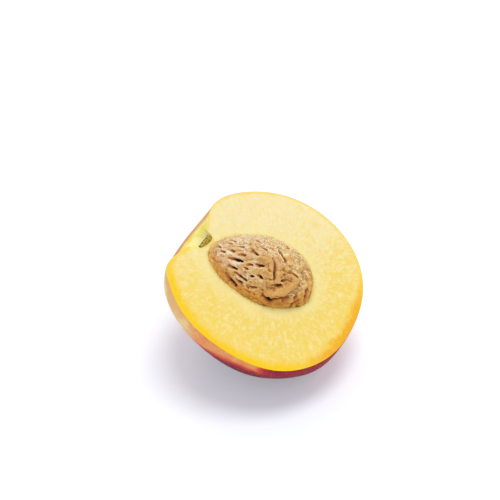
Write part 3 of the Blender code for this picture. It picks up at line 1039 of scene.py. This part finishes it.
def stone_finish():
    finish = Finish("furrowed_stone")
    place = finish.place()
    split = finish.node("ShaderNodeSeparateXYZ", {0: place})
    x, y = split.outputs[0], split.outputs[1]
    ridge = finish.value_of("ridge")
    hollow = finish.value_of("hollow")
    pit = finish.value_of("pit")
    lift = finish.value_of("lift")
    broad = finish.noise(place, 0.22, 3.0, 0.6)
    specks = finish.noise(place, 2.2, 5.0, 0.8)
    dapples = finish.noise(place, 1.1, 4.0, 0.7)

    # Bare wood, orange on its ridges and chalky where it is dry.
    wood = finish.mix(finish.between(broad, 0.35, 0.65), colour(228, 180, 114), colour(204, 148, 76))
    ridged = finish.mix(finish.times(ridge, 0.6), wood, colour(218, 152, 66))
    warm = finish.mix(finish.between(dapples, 0.45, 0.62, 0.0, 0.6), ridged, colour(246, 208, 152))
    chalk = finish.mix(finish.between(specks, 0.4, 0.6), colour(228, 186, 148), colour(255, 252, 242))
    dry = finish.between(finish.value_of("crumbly"), 0.1, 0.9)
    crumbs = finish.between(finish.value_of("crumb"), 0.0, 0.8, 0.3, 1.0)
    chalky = finish.mix(finish.times(dry, crumbs), warm, chalk)

    # Orange low down, partly the stone's own colour and partly painted shade and a painted reflection of the
    # yellow flesh, with fibres and grooves at the blossom end.
    low = finish.times(finish.between(lift, 0.75, 0.1), finish.between(y, 10.0, -3.0))
    rimmed = finish.mix(finish.times(low, 0.85), chalky, colour(224, 150, 40))
    tip = finish.times(finish.between(x, 10.0, 16.0), finish.between(lift, 0.8, 0.4))
    streaks = finish.between(finish.noise(place, 0.5, 3.0, 0.6, 0.5), 0.38, 0.55)
    fibres = finish.times(finish.times(tip, streaks), 0.85)
    fibred = finish.mix(fibres, rimmed, colour(236, 172, 52))
    grooves = finish.between(finish.noise(place, 0.75, 4.0, 0.7, 0.8), 0.5, 0.62, 0.0, 0.85)
    furrowed = finish.times(finish.between(x, 7.0, 14.0), grooves)
    grooved = finish.mix(furrowed, fibred, colour(132, 82, 30))

    # Painted shade: brown in the scratches and hollows, by how deep they lie, and less where it is dry.
    # Painted highlight: pale where it stands out.
    scratch_shade = finish.mix(finish.times(finish.value_of("fine"), 0.45), grooved, colour(172, 108, 54))
    chalk_free = finish.between(dry, 0.2, 0.8, 1.0, 0.5)
    hollow_shade_mask = finish.times(finish.between(hollow, 0.02, 0.5, 0.0, 0.75), chalk_free)
    shaded_hollows = finish.mix(hollow_shade_mask, scratch_shade, colour(138, 84, 40))
    # Painted highlight on the raised parts, weaker low down, on the ridges and at the tip.
    proud = finish.between(hollow, 0.0, -0.5, 0.0, 0.95)
    raised = finish.times(proud, finish.between(low, 0.0, 1.0, 1.0, 0.25))
    off_ridges = finish.times(raised, finish.between(ridge, 0.2, 1.0, 1.0, 0.3))
    bright = finish.times(off_ridges, finish.between(tip, 0.0, 1.0, 1.0, 0.5))
    highlit = finish.mix(bright, shaded_hollows, finish.mix(dry, colour(242, 202, 144), colour(255, 246, 226)))
    mottled = finish.mix(finish.between(specks, 0.56, 0.7, 0.0, 0.5), highlit, colour(158, 102, 52))
    sand = finish.between(finish.noise(place, 4.5, 2.0, 0.6), 0.35, 0.65, 0.78, 1.12)
    grains = finish.node("ShaderNodeCombineXYZ", {0: sand, 1: sand, 2: sand}).outputs[0]
    sandy = finish.mix(1.0, mottled, grains, "MULTIPLY")

    # Rust round the pits, flesh that clings to the foot, and painted shade dark in the deepest pits.
    rusty = finish.mix(finish.between(pit, 0.06, 0.4, 0.0, 0.85), sandy, colour(184, 102, 50))
    foot = finish.plus(lift, finish.between(dapples, 0.38, 0.62, 0.1, -0.1))
    clinging = finish.mix(finish.between(foot, 0.13, 0.0, 0.0, 0.75), rusty, colour(244, 208, 122))
    tint = finish.mix(finish.between(x, -16.0, 13.0), colour(255, 250, 234), colour(255, 242, 196))
    tinted = finish.mix(1.0, clinging, tint, "MULTIPLY")
    dark = finish.mix(finish.between(pit, 0.42, 0.85), tinted, colour(44, 18, 9))

    relief = finish.noise(place, 4.0, 4.0, 0.8)
    return finish.shade(
        Base_Color=dark,
        Roughness=finish.between(specks, 0.3, 0.7, 0.5, 0.8),
        Specular_IOR_Level=0.3,
        Normal=finish.bump(relief, 0.00018, 0.8),
    )


def bark_finish(name, light, dark):
    finish = Finish(name)
    place = finish.place()
    patches = finish.noise(place, 1.6, 4.0, 0.7)
    return finish.shade(
        Base_Color=finish.mix(finish.between(patches, 0.38, 0.62), dark, light),
        Roughness=0.75,
        Normal=finish.bump(patches, 0.0002, 0.7),
    )


def floor_finish():
    """White, and glowing a little of its own: painted light that keeps its shadows light."""
    finish = Finish("pale_floor")
    return finish.shade(
        Base_Color=(0.77, 0.8, 0.85, 1.0),
        Roughness=0.35,
        Specular_IOR_Level=0.5,
        Emission_Color=(0.86, 0.92, 1.0, 1.0),
        Emission_Strength=FLOOR_GLOW,
    )


# Stage, light and camera.


def make_floor(material):
    bpy.ops.mesh.primitive_plane_add(size=FLOOR_SIZE)
    floor = bpy.context.object
    floor.name = "floor"
    floor.data.materials.append(material)


def light_scene():
    """A bright surround, and one soft lamp almost straight above."""
    world = bpy.data.worlds.new("studio")
    world.use_nodes = True
    background = world.node_tree.nodes["Background"]
    background.inputs["Color"].default_value = SURROUND_COLOUR
    background.inputs["Strength"].default_value = SURROUND_STRENGTH
    bpy.context.scene.world = world
    lamp = bpy.data.lights.new("key", "SUN")
    lamp.energy = LAMP_ENERGY
    lamp.angle = LAMP_ANGLE
    lamp.color = LAMP_COLOUR
    holder = bpy.data.objects.new("key", lamp)
    holder.rotation_euler = LAMP_FROM.to_track_quat("Z", "Y").to_euler()
    bpy.context.collection.objects.link(holder)
    bpy.context.scene.view_settings.view_transform = "Standard"


def set_camera(centre):
    right = Vector((1.0, 0.0, 0.0))
    up = Vector((0.0, math.sin(VIEW_RAISE), math.cos(VIEW_RAISE)))
    back = Vector((0.0, -math.cos(VIEW_RAISE), math.sin(VIEW_RAISE)))
    lens = bpy.data.cameras.new("camera")
    lens.lens = LENS_MM
    lens.sensor_width = SENSOR_MM
    camera = bpy.data.objects.new("camera", lens)
    camera.location = centre - right * CENTRE_RIGHT - up * CENTRE_UP + back * CENTRE_AWAY
    camera.rotation_euler = (0.5 * math.pi - VIEW_RAISE, 0.0, 0.0)
    bpy.context.collection.objects.link(camera)
    bpy.context.scene.camera = camera


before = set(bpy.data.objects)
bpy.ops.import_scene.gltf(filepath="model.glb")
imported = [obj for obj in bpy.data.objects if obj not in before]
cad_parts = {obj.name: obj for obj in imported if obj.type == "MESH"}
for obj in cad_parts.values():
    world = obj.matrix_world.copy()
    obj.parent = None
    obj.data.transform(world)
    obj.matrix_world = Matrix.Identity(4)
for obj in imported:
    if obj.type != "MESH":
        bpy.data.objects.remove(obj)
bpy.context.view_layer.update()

peach_half, cut_place = make_peach_half([skin_finish(), flesh_finish()])
peach_stone = make_stone(cut_place, stone_finish())
skin_down = make_down(peach_half, down_finish())
bark = bark_finish("dry_bark", colour(122, 96, 30), colour(60, 42, 14))
section = bark_finish("stalk_section", colour(212, 182, 64), colour(140, 108, 24))
stalk_end = make_scar(cut_place, [bark, section])

for piece, node, slot in (
    (peach_half, "fruit_half", "flesh"),
    (peach_stone, "stone", "stone"),
    (stalk_end, "stalk_scar", "stalk"),
):
    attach(piece, "root")
    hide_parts(node)

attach(skin_down, "root")

make_floor(floor_finish())
light_scene()
set_camera(cut_place.translation)
